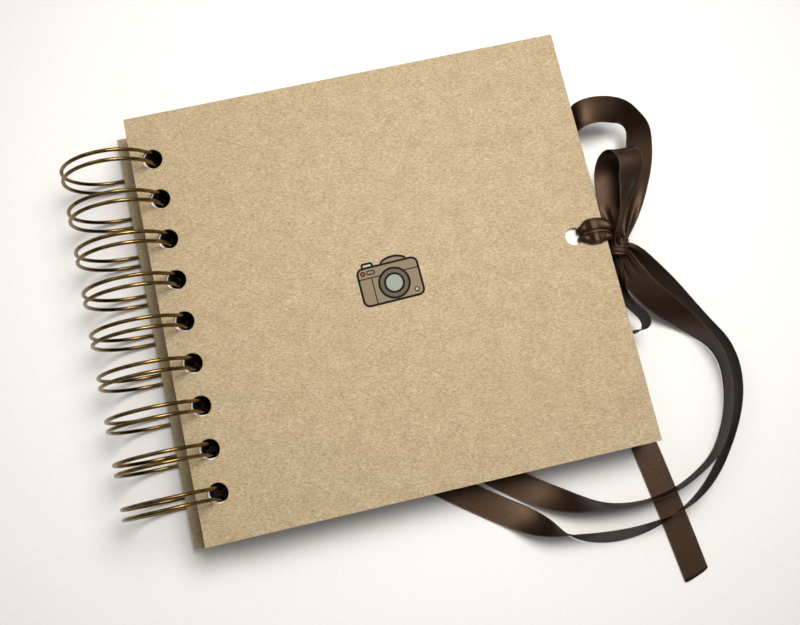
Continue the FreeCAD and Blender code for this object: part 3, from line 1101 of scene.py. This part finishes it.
    def curl(self) -> Ribbon:
        """The short end that rolls back towards the leaves."""
        stops = [Stop(*row) for row in ((215.6, 90.6, -4.6, 60, 0.45), (214.4, 86.0, -8.0, 62, 0.7),
                (214.0, 78.0, -11.0, 70, 0.95), (215.0, 69.8, -11.0, 84), (218.8, 62.6, -10.4, 88),
                (222.0, 57.6, -10.6, 86), (222.0, 53.6, -10.8, 86), (218.6, 51.6, -11.0, 88),
                (214.4, 52.2, -11.0, 90))]
        return Ribbon("bow_curl_satin", stops, Body.BACK, "bow_curl", "folded", ("bow_knot",),
                spacing=1.0, ease=4, cut_round=1.2)

    def build(self, finish: bpy.types.Material) -> None:
        """Ties the whole bow.

        Args:
            finish: The satin.
        """
        knot = Knot().build(self.album, finish)
        for ribbon in (self.large_loop(), self.small_loop(), self.outer_end(knot), self.inner_end(),
                self.curl()):
            ribbon.build(self.album, finish)


@dataclass
class CoverTies:
    """The ribbons that pass through the covers' holes."""

    album: AlbumFrame

    def front(self) -> Ribbon:
        """The two puffed strands from the front cover's hole over its edge to the knot."""
        stops = [Stop(*row) for row in ((214.8, 95.6, -3.2, 0, 0.42, 90),
                (213.4, 98.8, -2.2, 0, 0.6, 90), (210.6, 100.8, -1.86, 0, 0.8, 90),
                (205.6, 101.4, -1.86, 0, 0.8, 90), (202.4, 101.5, -1.86, 0, 0.66, 90),
                (200.6, 101.5, -1.7, 0, 0.6, 90), (199.8, 101.5, -0.7, 0, 0.58, 90),
                (200.3, 101.5, 0.35, 0, 0.64, 90), (201.8, 101.6, 0.65, 0, 0.86, 90),
                (204.6, 101.8, 0.5, 0, 1.0, 90), (208.4, 101.7, 0.45, 0, 0.98, 90),
                (211.6, 100.8, 0.35, 0, 0.84, 90), (213.6, 99.2, -0.3, 0, 0.62, 90),
                (214.9, 96.8, -1.5, 0, 0.46, 90), (215.6, 94.4, -2.2, 0, 0.36, 90))]
        return Ribbon("front_tie_satin", stops, Body.FRONT, "ribbon_front_loop", "folded",
                ("front_cover",), aimed=True, section=Section.TWO_LOBES, spacing=0.55, ease=3,
                ripple=0.0, thick=0.24)

    def back_rise(self) -> Ribbon:
        """The ribbon from the knot down the fore edge and along the back cover to its hole."""
        stops = [Stop(*row) for row in ((217.0, 93.6, -4.4, 0, 0.38, 90),
                (217.8, 96.4, -7.6, 0, 0.5, 90), (218.2, 99.6, -12.4, 0, 0.72, 90),
                (217.0, 101.2, -18.0, 0, 0.9, 90), (213.6, 101.5, -21.4, 0, 0.96, 90),
                (209.0, 101.5, -22.1, 0, 1.0, 90), (200.0, 101.5, -22.16, 0, 1.0, 90),
                (192.6, 101.5, -22.2, 0, 0.8, 90), (189.4, 101.5, -22.4, 0, 0.6, 90),
                (188.2, 101.5, -23.2, 0, 0.56, 90), (187.9, 101.5, -24.1, 0, 0.56, 90))]
        return Ribbon("back_tie_rise_satin", stops, Body.BACK, "ribbon_back_strap", "folded",
                ("back_cover",), aimed=True, cup=0.0, ripple=0.0, folds=3, spacing=0.9, ease=3)

    def back_end(self) -> Ribbon:
        """The back ribbon's free end, out from under the album's lower edge."""
        def flat(x: float, y: float) -> Stop:
            """A stop that lies on the table."""
            return Stop(x, y, self.album.table(x) + 0.24, math.degrees(self.album.slope))

        stops = (Stop(188.4, 101.0, -24.3, 0, 0.9), Stop(191.0, 89.0, -24.3), Stop(198.0, 56.0, -24.3),
                Stop(205.0, 21.0, -24.3), flat(209.4, -1.6), flat(212.0, -20.0), flat(214.6, -40.0),
                flat(217.5, -65.6))
        return Ribbon("back_tie_end_satin", stops, Body.BACK, "ribbon_back_tail", "laid",
                ("back_cover",), cup=0.0, ripple=0.0, thick=0.24, cut_slant=-1.4, cut_round=0.8)

    def build(self, finish: bpy.types.Material) -> None:
        """Threads the ribbons through the covers.

        Args:
            finish: The satin.
        """
        for ribbon in (self.front(), self.back_rise(), self.back_end()):
            ribbon.build(self.album, finish)


# ---------------------------------------------------------------- studio


@dataclass
class Studio:
    """Backdrop, soft lights and the camera."""

    album: AlbumFrame
    floor_half: float = 6.0
    floor_drop: float = 0.0003
    eye: Place = (72.81, 11.81, 436.75)
    right: Place = (0.9735, -0.2252, 0.0398)
    up: Place = (0.2151, 0.9607, 0.1756)
    lens: float = 43.18

    def floor(self) -> None:
        """Lays the backdrop paper."""
        steps = 8
        size = self.floor_half
        grid = [2.0 * size * step / steps - size for step in range(steps + 1)]
        points = [Vector((x, y, -self.floor_drop)) for y in grid for x in grid]
        wide = steps + 1
        faces = [(row * wide + col, row * wide + col + 1, (row + 1) * wide + col + 1, (row + 1) * wide
                + col) for row in range(steps) for col in range(steps)]
        sheet = mesh_piece("backdrop_paper", points, faces)
        dress(sheet, BackdropPaper().material())

    def softbox(self, name: str, place: Place, aim: Place, size: float, power: float, shade: str,
            spread: float = 180.0) -> None:
        """Hangs a square softbox.

        Args:
            name: Its name.
            place: Where it hangs, in metres.
            aim: What it faces, in metres.
            size: Its side, in metres.
            power: Its power in watts.
            shade: Its colour.
            spread: The beam's full angle, in degrees.
        """
        lamp = bpy.data.lights.new(name, "AREA")
        lamp.shape = "SQUARE"
        lamp.size = size
        lamp.energy = power
        lamp.spread = math.radians(spread)
        lamp.color = linear(shade)[:3]
        box = bpy.data.objects.new(name, lamp)
        box.location = place
        box.rotation_euler = (Vector(aim) - Vector(place)).to_track_quat("-Z", "Y").to_euler()
        bpy.context.scene.collection.objects.link(box)

    def camera(self) -> None:
        """Sets up the camera above the album."""
        right = self.album.way(self.right).normalized()
        up = self.album.way(self.up)
        back = right.cross(up).normalized()
        up = back.cross(right)
        turn = Matrix((right, up, back)).transposed().to_4x4()
        data = bpy.data.cameras.new("album_camera")
        data.sensor_fit = "HORIZONTAL"
        data.sensor_width = 36.0
        data.lens = self.lens
        data.clip_start = 0.01
        camera = bpy.data.objects.new("album_camera", data)
        camera.matrix_world = Matrix.Translation(self.album.at(self.eye)) @ turn
        bpy.context.scene.collection.objects.link(camera)
        bpy.context.scene.camera = camera

    def build(self) -> None:
        """Sets the whole studio."""
        self.floor()
        self.camera()
        self.softbox("key_softbox", (0.19, 0.17, 0.66), (-0.02, 0.05, 0.0), 0.34, 1.34, "#FFFBF7", 84.0)
        self.softbox("side_softbox", (-0.5, 0.45, 0.9), (0.0, 0.0, 0.0), 0.4, 0.75, "#FFFCF8")
        world = bpy.data.worlds.new("soft_room")
        world.use_nodes = True
        world.node_tree.nodes.clear()
        tree = world.node_tree
        make = partial(add_node, tree)
        coords = make("TexCoord")
        facing = make("VectorMath", {"operation": "DOT_PRODUCT", 1: (-0.15, 0.65, 0.75)},
                {0: coords.outputs["Generated"]})
        bright = make("MapRange", {"From Min": 0.45, "From Max": 1.0, "To Min": 0.24, "To Max": 0.4},
                {"Value": facing.outputs["Value"]})
        room = make("Background", {"Color": linear("#FDFCFA")}, {"Strength": bright})
        make("OutputWorld", None, {"Surface": room})
        bpy.context.scene.world = world
        bpy.context.scene.view_settings.view_transform = "Standard"
        LOG.info("studio set")


def main() -> None:
    """Builds the studio, then each sub-assembly in order."""
    logging.basicConfig(level=logging.INFO, format="%(name)s: %(message)s")
    album = AlbumFrame.from_joints(frame["joints"])
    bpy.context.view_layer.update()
    Studio(album).build()
    satin = SatinRibbon().material()
    Bow(album).build(satin)
    CoverTies(album).build(satin)
    Covers().build(album)
    Leaves().build()
    WireBinding().build()
    CoverPrint().build(album)


if __name__ == "__main__":
    main()
